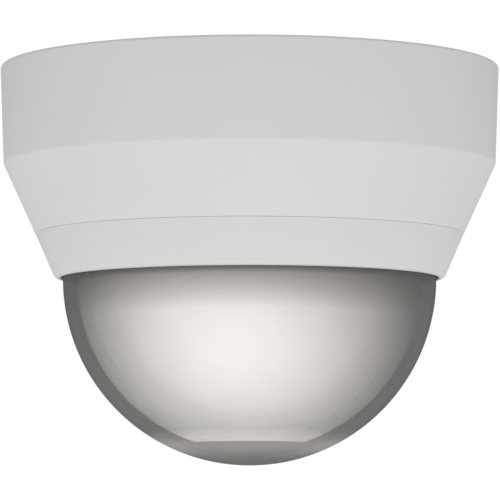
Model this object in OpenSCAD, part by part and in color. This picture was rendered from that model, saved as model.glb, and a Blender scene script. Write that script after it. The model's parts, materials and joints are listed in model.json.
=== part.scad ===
// Ceiling dome camera: a drafted white cover with a smoked bubble, over a pan, tilt and
// rotate camera head. The origin is the centre of the face that meets the ceiling, and
// the camera hangs below it, so every height in this file is a depth taken downwards.

/* [Cover] */
// Outer diameter at the ceiling
body_d = 145; // [144:0.5:148]
// Depth of the upright wall, from the ceiling to the start of the cone
wall_h = 28.3; // [27:0.1:29]
// Radius that the upright wall loses to its moulding draft
wall_draft = 1.0; // [0.6:0.1:1.2]
// Slope of the cone from vertical, in degrees
cone_a = 24.4; // [24:0.1:25]
// Depth of the seam between the cover shell and the trim ring
seam_h = 48.7; // [48.4:0.1:49]
// Depth of the trim ring's lip, the lowest point of the white parts
lip_h = 61.6; // [61.4:0.1:61.8]
// Wall thickness of the cover shell
shell_t = 2.4; // [2:0.1:2.6]
// Step in from the shell to the trim ring at the seam
seam_step = 0.25; // [0.1:0.05:0.4]
// Width of the cable knock-out in the back of the wall
knockout_w = 18; // [14:1:20]

/* [Bubble] */
// Outer diameter of the bubble
dome_d = 108.4; // [108:0.1:108.8]
// Wall thickness of the bubble
dome_t = 2.0; // [1.6:0.1:2.2]
// Depth of the bubble's centre, where the tilt axis also lies
dome_h = 61.5; // [61.3:0.1:61.7]

/* [Base] */
// Diameter of the base plate
base_d = 137; // [135:0.5:137.5]
// Thickness of the base plate
base_t = 2.5; // [2.2:0.1:3]
// Circle that the four ceiling screw holes lie on
screw_pcd = 118; // [114:1:120]
// Radius of a ceiling screw hole
screw_hole_r = 2.3; // [2:0.1:2.6]
// Radius of the cable hole through the base plate
cable_hole_r = 11; // [9:0.5:12]

/* [Board] */
// Diameter of the main circuit board
board_d = 92; // [90:1:92]
// Depth of the board's upper face
board_h = 13; // [12.5:0.1:13]
// Thickness of the board
board_t = 1.6; // [1.2:0.1:1.6]

/* [Pan, tilt and rotate] */
// Angle of the lens below the horizon at rest
lens_aim = 45; // [30:1:60]
// Radius of the pan hub
hub_r = 14; // [12:0.5:14]
// Radial gap of the running fits
run_gap = 0.08; // [0.04:0.01:0.1]
// Radius of the tilt pins
pin_r = 3; // [2.5:0.1:3]
// Distance from the camera's centre to the inner face of each yoke arm
arm_x = 27; // [27:0.1:27.5]
// Outer radius of the liner round the camera head
liner_r = 50; // [49.5:0.1:50.4]

/* [Lens] */
// Radius of the lens tube
lens_r = 10; // [9.8:0.1:10]
// Radius of the lens's front bell
bell_r = 13.5; // [13:0.1:14]
// Distance from the tilt axis to the front of the lens
lens_front = 42; // [41:0.5:42.5]
// Number of grip ribs on the zoom and focus rings
grip_n = 30; // [20:1:36]

/* [Hidden] */
$fn = 96;
eps = 0.01;

body_r = body_d / 2;
wall_r = body_r - wall_draft;      // radius where the wall meets the cone
dome_r = dome_d / 2;
dome_in = dome_r - dome_t;
base_r = base_d / 2;
board_r = board_d / 2;
cone_t = shell_t / cos(cone_a);    // horizontal thickness of the cone's wall

// Outer radius of the cone, and of the upright wall, at a depth.
function cone_r(h) = wall_r - (h - wall_h) * tan(cone_a);
function wall_out_r(h) = body_r - wall_draft * h / wall_h;
function wall_in_r(h) = wall_out_r(h) - shell_t - (cone_t - shell_t) * h / wall_h;
// Points of an arc in a profile, from angle a0 to a1.
function arc(x, y, r, a0, a1, n = 8) =
  [for (i = [0:n]) let (a = a0 + (a1 - a0) * i / n) [x + r * cos(a), y + r * sin(a)]];

// Heights that several pieces share, as depths below the ceiling.
lip_inner_r = dome_r + 0.65;
lip_round = 2;
ledge_h = 56;                      // ledge of the trim ring under the bubble's gasket
gasket_t = 0.8;
flange_h = ledge_h - gasket_t;     // underside of the bubble's flange
flange_t = 2;
flange_r = dome_r + 1.8;
ring_wall = 1.76;                  // horizontal thickness of the trim ring's wall
tongue_r = cone_r(seam_h) - cone_t - 0.12;
tongue_t = 1;
tongue_h = seam_h - 4.2;           // top of the trim ring's tongue
lug_r = 57.4;                      // circle of the trim screws
lug_angles = [90, 210, 330];
boss_r = 57.2;                     // circle of the retainer screws
boss_angles = [for (i = [0:5]) 60 * i];
retainer_h = 52.2;                 // underside of the retainer's ring
retainer_t = 1.8;
chassis_h = 30;                    // top of the chassis plate
chassis_t = 2.5;
chassis_r = 52;
leg_r = 50.5;
leg_angles = [90, 210, 330];
corner_angles = [45, 135, 225, 315];
table_h = chassis_h + chassis_t + 0.5;
table_t = 2.5;
table_r = 47.5;
table_low = table_h + table_t;
arm_t = 3;
standoff_r = 40;
standoff_angles = [55, 125, 215, 325];
cradle_r = 20 + run_gap;
barrel_r = 20;
face_z = board_h + board_t;        // depth of the face that holds the parts of the board
slot_r = 15.5;                     // half the width of the liner's slot
rim_step = 0.8;                    // depth of the base plate's recess for the foam
collar_h = 5.5;                    // depth of the collar round the cable hole
clip_angles = [30, 150, 270];
rivet_h = 5.5;                     // depth of the rivets that hold the clips
hub_screw_r = 11.5;                // circle of the pan retainer's screws
foot_x = 36;                       // screws of the yoke's feet
foot_y = [-6.5, 6.5];
liner_screw_r = 45;                // circle of the liner's screws
head_screw_r = 18.75;              // circle of the head retainer's screws
head_screw_angles = [60, 180, 300];
glass_step = 8;                    // distance between the two filter glasses

// ---- Helpers ----

module ring(r_out, r_in, h0, h1) {
  translate([0, 0, -h1]) difference() {
    cylinder(r = r_out, h = h1 - h0);
    translate([0, 0, -eps]) cylinder(r = r_in, h = h1 - h0 + 2 * eps);
  }
}

module disc(r, h0, h1) translate([0, 0, -h1]) cylinder(r = r, h = h1 - h0);

module at_angles(angles, r) for (a = angles) rotate([0, 0, a]) translate([r, 0, 0]) children();

// Block on the lower face of the board, from its own depth h0 to h1.
module block(x, y, w, d, h0, h1) translate([x - w / 2, y - d / 2, -h1]) cube([w, d, h1 - h0]);

// Pan-head screw, head upwards, its seat at depth h and its shank going down.
module screw_down(h, shank_r, shank_l, head_r, head_t) {
  difference() {
    union() {
      disc(head_r, h - head_t, h);
      disc(shank_r, h - head_t * 0.3, h + shank_l);
    }
    cross_recess(head_r, head_t, h - head_t - eps);
  }
}

// The same screw with its head downwards and its shank going up.
module screw_up(h, shank_r, shank_l, head_r, head_t) {
  translate([0, 0, -2 * h]) mirror([0, 0, 1]) screw_down(h, shank_r, shank_l, head_r, head_t);
}

module cross_recess(head_r, head_t, h0) {
  for (a = [0, 90]) rotate([0, 0, a])
    translate([-head_r * 0.55, -head_r * 0.12, -h0 - head_t * 0.55])
      cube([head_r * 1.1, head_r * 0.24, head_t * 0.55]);
}

// Moves what is modelled along +Z from the tilt axis to the rest aim of the lens.
module aimed() translate([0, 0, -dome_h]) rotate([-(90 + lens_aim), 0, 0]) children();

module tube(r_out, r_in, z0, z1) translate([0, 0, z0]) difference() {
  cylinder(r = r_out, h = z1 - z0);
  translate([0, 0, -eps]) cylinder(r = r_in, h = z1 - z0 + 2 * eps);
}

// ---- Base and chassis ----

module base_plate() color("whitesmoke") difference() {
  union() {
    disc(base_r, rim_step, rim_step + base_t);
    ring(base_r, base_r - 2.2, rim_step, 9);
    ring(34, 32, rim_step, collar_h);
    at_angles(leg_angles, leg_r) disc(5, 1, 6);
    at_angles(corner_angles, screw_pcd / 2) disc(5.4, 0, 5);
    ring(cable_hole_r + 2, cable_hole_r, 0, collar_h);
    at_angles([0, 90, 180, 270], 0) translate([33, -0.8, -5]) cube([base_r - 34, 1.6, 4]);
    at_angles([20, 160, 200, 340], 0) translate([12, -0.8, -5]) cube([21, 1.6, 4]);
    ring(base_r, base_r - 5, 0, 1);
  }
  disc(cable_hole_r, -1, 6);
  at_angles(corner_angles, screw_pcd / 2) disc(screw_hole_r, -1, 6);
  at_angles(leg_angles, leg_r) disc(1.7, -1, 7);
  at_angles(leg_angles, leg_r) disc(3.3, -1, 3);
  at_angles(standoff_angles, standoff_r) disc(1.6, -1, 5);
  translate([-knockout_w / 2 - 2, base_r - 8, -10]) cube([knockout_w + 4, 10, 8.5 - 1.3]);
}

// Foam ring that seals the base to the ceiling, let into the recess of the base.
module ceiling_gasket() color("dimgray") difference() {
  ring(base_r - 5.3, 46, 0, 0.78);
  at_angles(corner_angles, screw_pcd / 2) disc(5.8, -1, 2);
  at_angles(leg_angles, leg_r) disc(5.4, -1, 2);
}

module chassis_frame() color("gainsboro") difference() {
  union() {
    disc(chassis_r, chassis_h, chassis_h + chassis_t);
    at_angles(leg_angles, leg_r) disc(3.5, 6.05, chassis_h + eps);
    ring(hub_r + 4, hub_r + run_gap, chassis_h - 0.02, chassis_h + chassis_t);
    ring(chassis_r, chassis_r - 1.6, chassis_h - 4, chassis_h + eps);
  }
  disc(hub_r + run_gap, 0, 60);
  at_angles(leg_angles, leg_r) disc(1.25, 0, 18);
  // Room for the sockets at the front, and windows that save weight.
  translate([-29, -60, -chassis_h - 6]) cube([56, 33, 14]);
  for (a = [18, 108]) rotate([0, 0, a]) window();
  // Groove that the turntable's stop peg runs in, with a block left at the back.
  translate([0, 0, -chassis_h - chassis_t - eps]) rotate([0, 0, 92])
    rotate_extrude(angle = 356) translate([28, 0]) square([4, 1.5]);
}

module window() rotate_extrude(angle = 54) translate([35, -chassis_h - 5]) square([9, 10]);

module chassis_screws() color("silver")
  at_angles(leg_angles, leg_r) screw_down(3, 1.2, 12, 2.9, 1.8);

// Spring-steel leaves on the rim of the base that grip the inside of the cover.
module cover_clips() color("silver") for (a = clip_angles) rotate([0, 0, a - 4])
  difference() {
    rotate_extrude(angle = 8) polygon([
      [base_r + 0.05, -2], [base_r + 0.05, -9.5], [base_r + 0.45, -12.5],
      [base_r + 0.6, -14.5], [base_r - 0.6, -20], [base_r - 0.1, -20],
      [wall_in_r(14.5) - 0.12, -14.5], [base_r + 0.95, -12.5], [base_r + 0.55, -9.5],
      [base_r + 0.55, -2]
    ]);
    rotate([0, 90, 4]) translate([rivet_h, 0, base_r - 4]) cylinder(r = 1.55, h = 8);
  }

module clip_rivets() color("gray") for (a = clip_angles) rotate([0, 0, a])
  translate([0, 0, -rivet_h]) rotate([0, 90, 0]) {
    translate([0, 0, base_r + 0.57]) cylinder(r = 2.4, h = 0.5);
    translate([0, 0, base_r + 0.02]) cylinder(r = 1.5, h = 0.6);
  }

// ---- Main board ----

module board_standoffs() color("goldenrod") at_angles(standoff_angles, standoff_r)
  difference() {
    translate([0, 0, -board_h]) cylinder(r = 2.9, h = board_h - rim_step - base_t, $fn = 6);
    disc(1.3, board_h - 6, board_h + 1);
  }

module main_board() color("darkgreen") difference() {
  disc(board_r, board_h, face_z);
  disc(8, 0, 30);
  at_angles(standoff_angles, standoff_r) disc(1.7, 0, 30);
  translate([-60, 43, -20]) cube([120, 20, 20]);
  at_angles([90], leg_r) disc(4.2, 0, 30);
}

module board_screws() color("silver")
  at_angles(standoff_angles, standoff_r) screw_up(face_z, 1.25, 5, 2.8, 1.6);

socket_x = -15;                    // centre of the network socket across the board
socket_y = -45;                    // its open face, at the front edge of the board
socket_w = 16;
socket_l = 21;
socket_low = face_z + 13.4;
cavity_w = 11.8;
cavity_t = 8;

module network_socket() color("silver") difference() {
  block(socket_x, socket_y + socket_l / 2, socket_w, socket_l, face_z, socket_low);
  translate([socket_x - cavity_w / 2, socket_y - 1, -socket_low + 1.6])
    cube([cavity_w, 15, cavity_t]);
  translate([socket_x - 3.2, socket_y - 1, -socket_low + 0.5]) cube([6.4, 11, 2]);
}

module socket_contacts() color("gold") for (i = [0:7])
  translate([socket_x - 3.75 + i * 1.02, socket_y + 3, -socket_low + cavity_t + 1.1])
    rotate([-8, 0, 0]) cube([0.35, 9, 0.35]);

terminal_x = 12;

module power_terminal() color("forestgreen") difference() {
  block(terminal_x, -40, 11, 9, face_z, face_z + 10);
  for (s = [-1, 1]) translate([terminal_x + s * 2.6 - 1.6, -46, -face_z - 8.6])
    cube([3.2, 6, 4.2]);
  for (s = [-1, 1]) translate([terminal_x + s * 2.6, -38.5, 0]) disc(1.75, face_z + 3, 40);
}

module terminal_screws() color("silver") for (s = [-1, 1])
  translate([terminal_x + s * 2.6, -38.5, 0]) difference() {
    disc(1.65, face_z + 4, face_z + 9.4);
    translate([-2, -0.3, -face_z - 10]) cube([4, 0.6, 1.6]);
  }

sink_x = 20;                       // centre of the processor and its heat sink
sink_y = 18;

module heat_sink() color("lightslategray") difference() {
  block(sink_x, sink_y, 24, 22, face_z + 1.5, face_z + 10.5);
  for (i = [0:5]) translate([sink_x - 10.2 + i * 3.7, sink_y - 12, -face_z - 11])
    cube([1.9, 24, 7]);
}

// Processor under the heat sink, memory, network transformer and small regulators.
module board_chips() color("#222222") {
  block(sink_x, sink_y, 14, 14, face_z, face_z + 1.5);
  block(-16, 24, 12, 9, face_z, face_z + 1.2);
  block(-16, 11, 12, 9, face_z, face_z + 1.2);
  block(-15, -17, 13, 9, face_z, face_z + 5.5);
  block(4, -28, 6, 5, face_z, face_z + 1.6);
  block(-31, -6, 7, 7, face_z, face_z + 1.1);
  block(-2, 34, 9, 5, face_z, face_z + 1.4);
}

module board_capacitors() color("steelblue") for (p = [[24, -20], [31, -14], [15, -22]])
  translate([p[0], p[1], 0]) {
    disc(3.2, face_z + 0.6, face_z + 8);
    block(0, 0, 6.6, 6.6, face_z, face_z + 0.6);
  }

module flex_connector() color("ivory") difference() {
  block(0, 12, 14, 4.4, face_z, face_z + 2.6);
  block(0, 11, 11.4, 4, face_z + 1, face_z + 1.5);
}

button_x = 2;
button_y = -39;

module reset_switch() color("#333333") difference() {
  block(button_x, button_y, 6, 6, face_z, face_z + 3.4);
  translate([button_x, button_y, 0]) disc(1.85, face_z + 1.4, face_z + 4);
}

module reset_button() color("crimson") translate([button_x, button_y, 0])
  disc(1.7, face_z + 2.1, face_z + 5);

card_x = 38;                       // centre of the card socket
card_y = -1;

module card_socket() color("silver") difference() {
  block(card_x - 1, card_y, 14, 14, face_z, face_z + 1.9);
  block(card_x + 1, card_y, 15, 11.3, face_z + 0.5, face_z + 1.5);
}

module memory_card() color("#1a1a1a")
  block(card_x + 1.5, card_y, 13.6, 11, face_z + 0.6, face_z + 1.4);

// ---- Pan body ----

module turntable() color("#2b2b2b") difference() {
  union() {
    disc(table_r, table_h, table_low);
    disc(hub_r, chassis_h - 0.1, table_h + eps);
    translate([0, -30, 0]) disc(1.5, table_h - 1.7, table_h + eps);
    ring(table_r, table_r - 1.2, table_h - 0.4, table_h + eps);
  }
  disc(9, 0, 60);
  at_angles(clip_angles, hub_screw_r) disc(0.95, 0, chassis_h + 5);
  for (s = [-1, 1], y = foot_y) translate([s * foot_x, y, 0]) disc(1.25, table_h - 1, 60);
  at_angles(corner_angles, liner_screw_r) disc(1.05, table_h - 1, 60);
}

module pan_washer() color("orange") ring(24, 15, table_h - 0.45, table_h - 0.02);

module pan_retainer() color("silver") difference() {
  ring(18, 9, chassis_h - 1.9, chassis_h - 0.1);
  at_angles(clip_angles, hub_screw_r) disc(1.05, 0, 60);
}

module pan_retainer_screws() color("silver")
  at_angles(clip_angles, hub_screw_r) screw_down(chassis_h - 1.9, 0.9, 5, 1.8, 1.2);

// Arm of the yoke on the +X side: an upright plate round the tilt pin, with a foot that
// is screwed to the turntable.
module yoke_arm() difference() {
  union() {
    translate([arm_x, 0, -dome_h]) rotate([0, 90, 0]) cylinder(r = 8, h = arm_t);
    translate([arm_x, -8, -dome_h]) cube([arm_t, 16, dome_h - table_low]);
    translate([arm_x, -12, -table_low - 8]) cube([arm_t, 24, 8]);
    block(arm_x + 6.5, 0, 13, 24, table_low, table_low + 2);
    for (y = [-11, 9.5]) translate([arm_x + arm_t - eps, y, -table_low - 2])
      rotate([-90, 0, 0]) linear_extrude(1.5) polygon([[0, -eps], [7, -eps], [0, 6]]);
  }
  translate([arm_x - 1, 0, -dome_h]) rotate([0, 90, 0]) cylinder(r = pin_r + 0.03, h = 5);
  for (y = foot_y) translate([foot_x, y, 0]) disc(1.35, table_low - 1, table_low + 4);
}

module yoke_arm_right() color("gainsboro") yoke_arm();
module yoke_arm_left() color("gainsboro") mirror([1, 0, 0]) yoke_arm();

module yoke_screws() color("silver") for (s = [-1, 1], y = foot_y)
  translate([s * foot_x, y, 0]) screw_up(table_low + 2, 1.2, 4, 2.4, 1.6);

// Shoulder pins, fixed in the arms, that the cradle turns on.
module tilt_pins() color("silver") for (s = [0, 1]) mirror([s, 0, 0])
  translate([0, 0, -dome_h]) rotate([0, 90, 0]) difference() {
    union() {
      translate([0, 0, 21]) cylinder(r = pin_r, h = arm_x + arm_t - 21 + eps);
      translate([0, 0, arm_x + arm_t]) cylinder(r = 5, h = 2);
    }
    for (a = [0, 90]) rotate([0, 0, a]) translate([-3, -0.6, arm_x + arm_t + 1])
      cube([6, 1.2, 2]);
  }

// Pale shroud round the camera head, turning with it, with a slot that the lens
// sees through from straight down to the horizon.
liner_t = 1.4;
slot_top = 13;                     // height of the slot's end above the tilt axis

module liner_profile() {
  difference() {
    circle(r = liner_r);
    circle(r = liner_r - liner_t);
    translate([-liner_r - 1, 0]) square([2 * liner_r + 2, liner_r + 1]);
    translate([-liner_r - 1, -liner_r - 1]) square([liner_r + 1, 2 * liner_r + 2]);
  }
  translate([liner_r - liner_t, 0]) square([liner_t, dome_h - table_low]);
  translate([43, dome_h - table_low - 1.5]) square([liner_r - 43, 1.5]);
}

module inner_liner() color("gainsboro") difference() {
  translate([0, 0, -dome_h]) rotate_extrude() liner_profile();
  disc(slot_r, dome_h + 20, 130);
  translate([-slot_r, 0, -130]) cube([2 * slot_r, 60, 130 - dome_h + slot_top]);
  at_angles(corner_angles, liner_screw_r) disc(1.15, table_low - 1, table_low + 3);
}

module liner_screws() color("silver")
  at_angles(corner_angles, liner_screw_r) screw_up(table_low + 1.5, 1, 3.4, 1.9, 1.2);

// ---- Tilt body ----

module tilt_cradle() color("#2b2b2b") aimed() difference() {
  union() {
    tube(23, cradle_r, -8, 8);
    translate([0, 22.2, -10.5]) cylinder(r = 0.6, h = 3);
    for (s = [-1, 1]) rotate([0, s * 90, 0]) translate([0, 0, 21.5])
      cylinder(r = 7, h = arm_x - 0.3 - 21.5);
  }
  translate([0, 0, -9]) cylinder(r = cradle_r, h = 18);
  for (s = [-1, 1]) rotate([0, s * 90, 0]) translate([0, 0, 15])
    cylinder(r = pin_r + run_gap, h = 15);
}

// ---- Rotating head ----

module head_barrel() color("#3a3a3a") aimed() difference() {
  union() {
    tube(barrel_r, 17.5, -8.4, 10.3);
    tube(22.5, 17.5, 8.3, 10.3);
  }
  for (a = [0:30:330]) rotate([0, 0, a]) translate([22.6, 0, 7]) cylinder(r = 0.7, h = 5);
  for (a = head_screw_angles) rotate([0, 0, a]) translate([head_screw_r, 0, -9]) cylinder(r = 0.65, h = 6);
}

// The tab on its rim meets the peg on the cradle at the ends of the head's turn.
module head_retainer() color("#2b2b2b") aimed() difference() {
  union() {
    tube(21.3, 15.1, -10.3, -8.45);
    translate([-0.6, -22.8, -10.3]) cube([1.2, 3, 1.85]);
  }
  for (a = head_screw_angles) rotate([0, 0, a]) translate([head_screw_r, 0, -12]) cylinder(r = 0.8, h = 6);
}

module head_retainer_screws() color("silver") aimed() for (a = head_screw_angles)
  rotate([0, 0, a]) translate([head_screw_r, 0, -10.32]) mirror([0, 0, 1]) {
    cylinder(r = 1.4, h = 0.9);
    mirror([0, 0, 1]) cylinder(r = 0.6, h = 4.5);
  }

module head_rear_cover() color("#3a3a3a") aimed() difference() {
  union() {
    translate([0, 0, -17.5]) cylinder(r = 15, h = 9.2);
    translate([0, 0, -18]) cylinder(r = 14.2, h = 0.6);
  }
  translate([0, 0, -16.5]) cylinder(r = 13.6, h = 10);
  translate([-5.6, -1.2, -19]) cube([11.2, 2.4, 4]);
  for (x = [-9, 9]) translate([x - 0.7, -7, -19]) cube([1.4, 14, 4]);
}

module sensor_board() color("darkgreen") aimed() difference() {
  translate([0, 0, -9.4]) cylinder(r = 13.4, h = 1.2);
  for (a = [45, 225]) rotate([0, 0, a]) translate([11, 0, -12]) cylinder(r = 0.9, h = 6);
}

// Socket for the flat cable that comes in through the slot of the rear cover.
module sensor_connector() color("ivory") aimed() difference() {
  translate([-6, -2, -12]) cube([12, 4, 2.55]);
  translate([-5, -0.4, -12.5]) cube([10, 0.8, 2]);
}

module image_sensor() color("darkslategray") aimed() {
  translate([-5, -4, -8.15]) cube([10, 8, 1]);
  translate([-4.2, -3.2, -7.14]) cube([8.4, 6.4, 0.3]);
}

module lens_mount() color("#2b2b2b") aimed() difference() {
  union() {
    translate([0, 0, -1.2]) cylinder(r = 17.4, h = 2.4);
    translate([0, 0, 1]) cylinder(r = 11.6, h = 6);
    for (a = [45, 225]) rotate([0, 0, a]) translate([11, 0, -8.1]) cylinder(r = 1.6, h = 7);
  }
  translate([0, 0, -2]) cylinder(r = 9, h = 10);
}

// Day and night filter: a frame with an infrared-cut glass and a clear glass, which a
// small coil slides across behind the lens.
module filter_housing() color("#444444") aimed() difference() {
  translate([-14, -6.4, -6.4]) cube([28, 12.8, 5.1]);
  translate([-12.8, -4.8, -4.9]) cube([25.6, 9.6, 1.8]);
  translate([0, 0, -7]) cylinder(r = 4.2, h = 8);
  for (a = [45, 225]) rotate([0, 0, a]) translate([11, 0, -9]) cylinder(r = 1.9, h = 9);
}

module filter_frame() color("#111111") aimed() difference() {
  translate([-4.5, -4.6, -4.6]) cube([17, 9.2, 1.2]);
  for (x = [0, glass_step]) translate([x, 0, -5]) cylinder(r = 3.6, h = 3);
}

module filter_glasses() color("lightcyan") aimed() for (x = [0, glass_step])
  translate([x, 0, -4.3]) cylinder(r = 3.55, h = 0.6);

module lens_barrel() color("#202020") aimed() difference() {
  union() {
    translate([0, 0, 1.5]) cylinder(r = 8.92, h = 6);
    translate([0, 0, 7.2]) cylinder(r = lens_r, h = 24);
    translate([0, 0, 30]) cylinder(r1 = lens_r, r2 = bell_r, h = 3);
    translate([0, 0, 33 - eps]) cylinder(r = bell_r, h = lens_front - 33);
  }
  cylinder(r = 7.5, h = 40);
  translate([0, 0, 34]) cylinder(r = 12, h = 20);
  translate([0, 0, lens_front - 1.2]) cylinder(r1 = 12, r2 = 12.9, h = 1.3);
}

module rear_lens() color("lightblue") aimed() intersection() {
  translate([0, 0, 3]) cylinder(r = 7.45, h = 5);
  translate([0, 0, -9.5]) sphere(r = 16);
}

module middle_lens() color("lightblue") aimed() intersection() {
  translate([0, 0, 15]) cylinder(r = 7.45, h = 6);
  translate([0, 0, 4]) sphere(r = 16);
}

module front_lens() color("lightblue") aimed() intersection() {
  translate([0, 0, 34.2]) cylinder(r = 11.9, h = 8);
  translate([0, 0, 19.6]) sphere(r = 20.4);
}

module lens_front_ring() color("#101010") aimed() difference() {
  translate([0, 0, 38.4]) cylinder(r = 11.95, h = 1.8);
  translate([0, 0, 38]) cylinder(r1 = 9.2, r2 = 11.4, h = 2.3);
}

// Ring with grip ribs and a post for its lock screw, from z0 to z0 + 7.
module lens_ring(z0) difference() {
  union() {
    tube(12.6, lens_r + run_gap, z0, z0 + 7);
    rotate([0, 0, 90]) rotate([0, 90, 0]) translate([-z0 - 3.5, 0, 11.4])
      cylinder(r = 2.2, h = 2.6);
  }
  for (i = [0:grip_n - 1]) rotate([0, 0, 90 + 24 + i * 312 / (grip_n - 1)])
    translate([12.75, 0, z0 + 0.8]) cylinder(r = 0.4, h = 5.4);
  translate([0, 0, z0 - 1]) cylinder(r = lens_r + run_gap, h = 9);
  rotate([0, 0, 90]) rotate([0, 90, 0]) translate([-z0 - 3.5, 0, 9]) cylinder(r = 0.85, h = 6);
}

module lock_screw(z0) rotate([0, 0, 90]) rotate([0, 90, 0]) translate([-z0 - 3.5, 0, 0])
  difference() {
    union() {
      translate([0, 0, 10.4]) cylinder(r = 0.8, h = 4);
      translate([0, 0, 14.05]) cylinder(r = 1.5, h = 1);
      translate([0, 0, 15]) cylinder(r = 2.3, h = 3.4);
    }
    for (a = [0:30:330]) rotate([0, 0, a]) translate([2.45, 0, 14.9]) cylinder(r = 0.3, h = 4);
    translate([-3, -0.3, 17.8]) cube([6, 0.6, 2]);
  }

focus_z = 11;
zoom_z = 21;

module focus_ring() color("#2e2e2e") aimed() lens_ring(focus_z);
module focus_lock_screw() color("silver") aimed() lock_screw(focus_z);
module zoom_ring() color("#2e2e2e") aimed() lens_ring(zoom_z);
module zoom_lock_screw() color("silver") aimed() lock_screw(zoom_z);

// ---- Cover ----

// Half profile of the shell: the drafted wall, the cone and the rounded corner between.
module shell_profile() polygon(concat(
  arc(body_r - 0.6, -0.8, 0.6, 90, 2, 4),
  arc(wall_r - 2, -wall_h + 0.4, 2, -2, -cone_a, 4),
  [
    [cone_r(seam_h) + 0.02, -seam_h], [cone_r(seam_h) - cone_t, -seam_h],
    [wall_in_r(wall_h), -wall_h], [wall_in_r(0.2), -0.2]
  ]
));

// Arch-topped prism through the back of the wall, for the knock-out.
module knockout_prism(w, h) translate([0, body_r - 12, 0]) {
  translate([-w / 2, 0, -h + w / 2]) cube([w, 24, h]);
  translate([0, 0, -h + w / 2]) rotate([-90, 0, 0]) cylinder(r = w / 2, h = 24);
}

module cover_shell() color("white") difference() {
  union() {
    rotate_extrude($fn = 128) shell_profile();
    at_angles(lug_angles, lug_r) {
      disc(2.6, tongue_h - 3, tongue_h - 0.2);
      translate([0, -2.6, -tongue_h + 0.2]) cube([6.2, 5.2, 2.8]);
    }
  }
  at_angles(lug_angles, lug_r) disc(1.05, tongue_h - 4, tongue_h + 1);
  knockout_prism(knockout_w, 16);
}

// Snap-in plug that closes the knock-out, with a flange behind the wall.
module knockout_plug() color("white") union() {
  intersection() {
    rotate_extrude($fn = 128) polygon([
      [wall_in_r(0.4) - 0.3, -0.4], [wall_out_r(0.4), -0.4],
      [wall_out_r(20), -20], [wall_in_r(20) - 0.3, -20]
    ]);
    knockout_prism(knockout_w - 0.3, 15.85);
  }
  intersection() {
    rotate_extrude($fn = 128) polygon([
      [wall_in_r(0.4) - 1.1, -0.4], [wall_in_r(0.4) - 0.08, -0.4],
      [wall_in_r(20) - 0.08, -20], [wall_in_r(20) - 1.1, -20]
    ]);
    knockout_prism(knockout_w + 3, 17.4);
  }
}

// Lower part of the cone: carries the bubble on a ledge and fits into the shell by a tongue.
module ring_profile() polygon(concat(
  [[cone_r(seam_h + 0.25) - seam_step, -seam_h - 0.25]],
  arc(lip_inner_r, -lip_h + lip_round, lip_round, -cone_a, -90, 8),
  [
    [lip_inner_r, -ledge_h], [cone_r(ledge_h) - ring_wall, -ledge_h],
    [tongue_r - tongue_t, -seam_h - 3.4], [tongue_r - tongue_t, -tongue_h],
    [tongue_r, -tongue_h], [tongue_r, -seam_h - 0.25]
  ]
));

module trim_ring() color("white") difference() {
  union() {
    rotate_extrude($fn = 128) ring_profile();
    at_angles(boss_angles, boss_r) disc(1.15, retainer_h + 0.02, ledge_h + 0.5);
    at_angles(lug_angles, lug_r) disc(1.9, tongue_h, seam_h + 0.8);
  }
  at_angles(boss_angles, boss_r) disc(0.55, retainer_h - 1, ledge_h - 0.5);
  at_angles(lug_angles, lug_r) disc(0.95, tongue_h - 1, seam_h + 0.2);
}

module trim_screws() color("silver")
  at_angles(lug_angles, lug_r) screw_down(tongue_h - 3, 0.85, 6.4, 1.9, 1.2);

module bubble_gasket() color("#222222") ring(flange_r - 0.1, lip_inner_r + 0.1, flange_h, ledge_h);

// Smoked bubble: a half sphere, a short neck and the flange that the retainer clamps.
module dome_bubble() color("gray") rotate_extrude($fn = 128) polygon(concat(
  arc(0, -dome_h, dome_r, -90, 0, 32),
  [
    [dome_r, -flange_h], [flange_r, -flange_h], [flange_r, -flange_h + flange_t],
    [dome_in, -flange_h + flange_t]
  ],
  arc(0, -dome_h, dome_in, 0, -90, 32)
));

module bubble_retainer() color("#303030") difference() {
  union() {
    ring(58.1, dome_in + 1.2, retainer_h - retainer_t, retainer_h);
    ring(flange_r - 0.3, dome_in + 1.2, retainer_h - eps, flange_h - flange_t);
  }
  at_angles(boss_angles, boss_r) disc(0.65, retainer_h - 4, retainer_h + 4);
  at_angles(lug_angles, lug_r) disc(2.3, retainer_h - 4, retainer_h + 4);
}

module retainer_screws() color("silver")
  at_angles(boss_angles, boss_r) screw_down(retainer_h - retainer_t, 0.5, 4.4, 1.15, 0.9);

base_plate();
ceiling_gasket();
chassis_frame();
chassis_screws();
cover_clips();
clip_rivets();
board_standoffs();
main_board();
board_screws();
network_socket();
socket_contacts();
power_terminal();
terminal_screws();
heat_sink();
board_chips();
board_capacitors();
flex_connector();
reset_switch();
reset_button();
card_socket();
memory_card();
turntable();
pan_washer();
pan_retainer();
pan_retainer_screws();
yoke_arm_left();
yoke_arm_right();
yoke_screws();
tilt_pins();
inner_liner();
liner_screws();
tilt_cradle();
head_barrel();
head_retainer();
head_retainer_screws();
head_rear_cover();
sensor_board();
sensor_connector();
image_sensor();
lens_mount();
filter_housing();
filter_frame();
filter_glasses();
lens_barrel();
rear_lens();
middle_lens();
front_lens();
lens_front_ring();
focus_ring();
focus_lock_screw();
zoom_ring();
zoom_lock_screw();
cover_shell();
knockout_plug();
trim_ring();
trim_screws();
bubble_gasket();
dome_bubble();
bubble_retainer();
retainer_screws();
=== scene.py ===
import json
import math

import bmesh
import bpy
from mathutils import Matrix, Vector


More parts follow.
